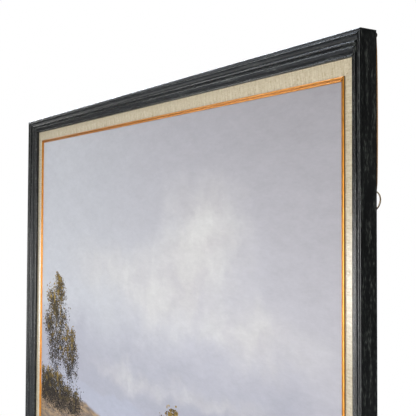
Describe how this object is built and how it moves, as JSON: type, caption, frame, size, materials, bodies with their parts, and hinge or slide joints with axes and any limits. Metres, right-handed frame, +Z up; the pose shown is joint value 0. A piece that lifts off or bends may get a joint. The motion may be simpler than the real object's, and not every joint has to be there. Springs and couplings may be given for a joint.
{
  "type": "framed oil painting",
  "caption": "Landscape-format framed oil painting: reeded black wooden moulding, linen liner and gold fillet round a canvas, with a papered back and swinging D-ring hangers.",
  "frame": {"origin": "centre of the dust cover's back face, which faces the wall", "axes": "+Z up, +X towards the right of a viewer of the picture, +Y into the wall; the picture faces -Y"},
  "size_m": [1.336, 0.053, 1.031],
  "materials": {
    "black_wood": "satin",
    "linen": "matte",
    "gilding": "polished",
    "oil_paint": "satin",
    "fibreboard": "matte",
    "kraft_paper": "matte",
    "rubber": "matte",
    "steel": "satin",
    "brassed_steel": "satin"
  },
  "bodies": {
    "root": {"frame_left": "black_wood", "frame_top": "black_wood", "frame_right": "black_wood", "frame_bottom": "black_wood", "liner_left": "linen", "liner_top": "linen", "liner_right": "linen", "liner_bottom": "linen", "fillet_left": "gilding", "fillet_top": "gilding", "fillet_right": "gilding", "fillet_bottom": "gilding", "canvas": "oil_paint", "board": "fibreboard", "dust_cover": "kraft_paper", "bumper_bottom_left": "rubber", "bumper_bottom_right": "rubber", "bumper_top_left": "rubber", "bumper_top_right": "rubber", "hanger_strap_left": "steel", "hanger_screw_left": "brassed_steel", "hanger_strap_right": "steel", "hanger_screw_right": "brassed_steel"},
    "ring_left": {"hanger_ring_left": "steel"},
    "ring_right": {"hanger_ring_right": "steel"}
  },
  "joints": [
    {"name": "ring_swing_left", "type": "hinge", "parent": "root", "child": "ring_left", "pos_m": [-0.6522, 0.00255, 0.2855], "axis": [0.225, 0, -0.9744], "range_deg": [-90, 90]},
    {"name": "ring_swing_right", "type": "hinge", "parent": "root", "child": "ring_right", "pos_m": [0.6522, 0.00255, 0.2855], "axis": [0.225, 0, 0.9744], "range_deg": [-90, 90]}
  ]
}
